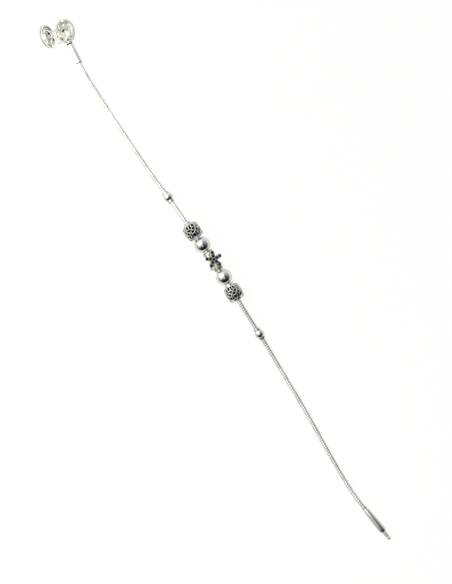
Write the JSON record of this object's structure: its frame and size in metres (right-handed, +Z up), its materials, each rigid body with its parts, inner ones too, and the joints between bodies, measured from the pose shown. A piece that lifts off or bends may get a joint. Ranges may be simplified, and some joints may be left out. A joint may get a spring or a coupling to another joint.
{
  "type": "charm bracelet",
  "caption": "Silver snake-chain charm bracelet with threaded openwork, ball and star beads and a hinged round snap clasp, lying unfastened.",
  "frame": {"origin": "on the surface the bracelet lies on, under the middle of its bounding box", "axes": "+X along the bracelet from the clasp to the end tip, +Z up, +Y across it towards the clasp's base half"},
  "size_m": [0.2036, 0.0123, 0.0075],
  "materials": {
    "polished_silver": "polished",
    "chain_silver": "satin",
    "oxidised_silver": "satin",
    "black_stone": "gloss"
  },
  "bodies": {
    "bracelet": {"clasp_base": "polished_silver", "hinge_pin": "polished_silver", "clasp_sleeve": "polished_silver", "snake_chain": "chain_silver", "stopper_bead_upper": "polished_silver", "stopper_bead_lower": "polished_silver", "flower_bead_upper": "oxidised_silver", "flower_bead_lower": "oxidised_silver", "ball_bead_upper": "polished_silver", "ball_bead_lower": "polished_silver", "star_bead": "polished_silver", "end_tip": "polished_silver"},
    "lid": {"clasp_lid": "polished_silver"}
  },
  "joints": [
    {"name": "clasp_hinge", "type": "hinge", "parent": "bracelet", "child": "lid", "pos_m": [-0.09735, -0.00075, 0.00047], "axis": [-0.9659, 0.2588, 0], "range_deg": [0, 77]}
  ]
}
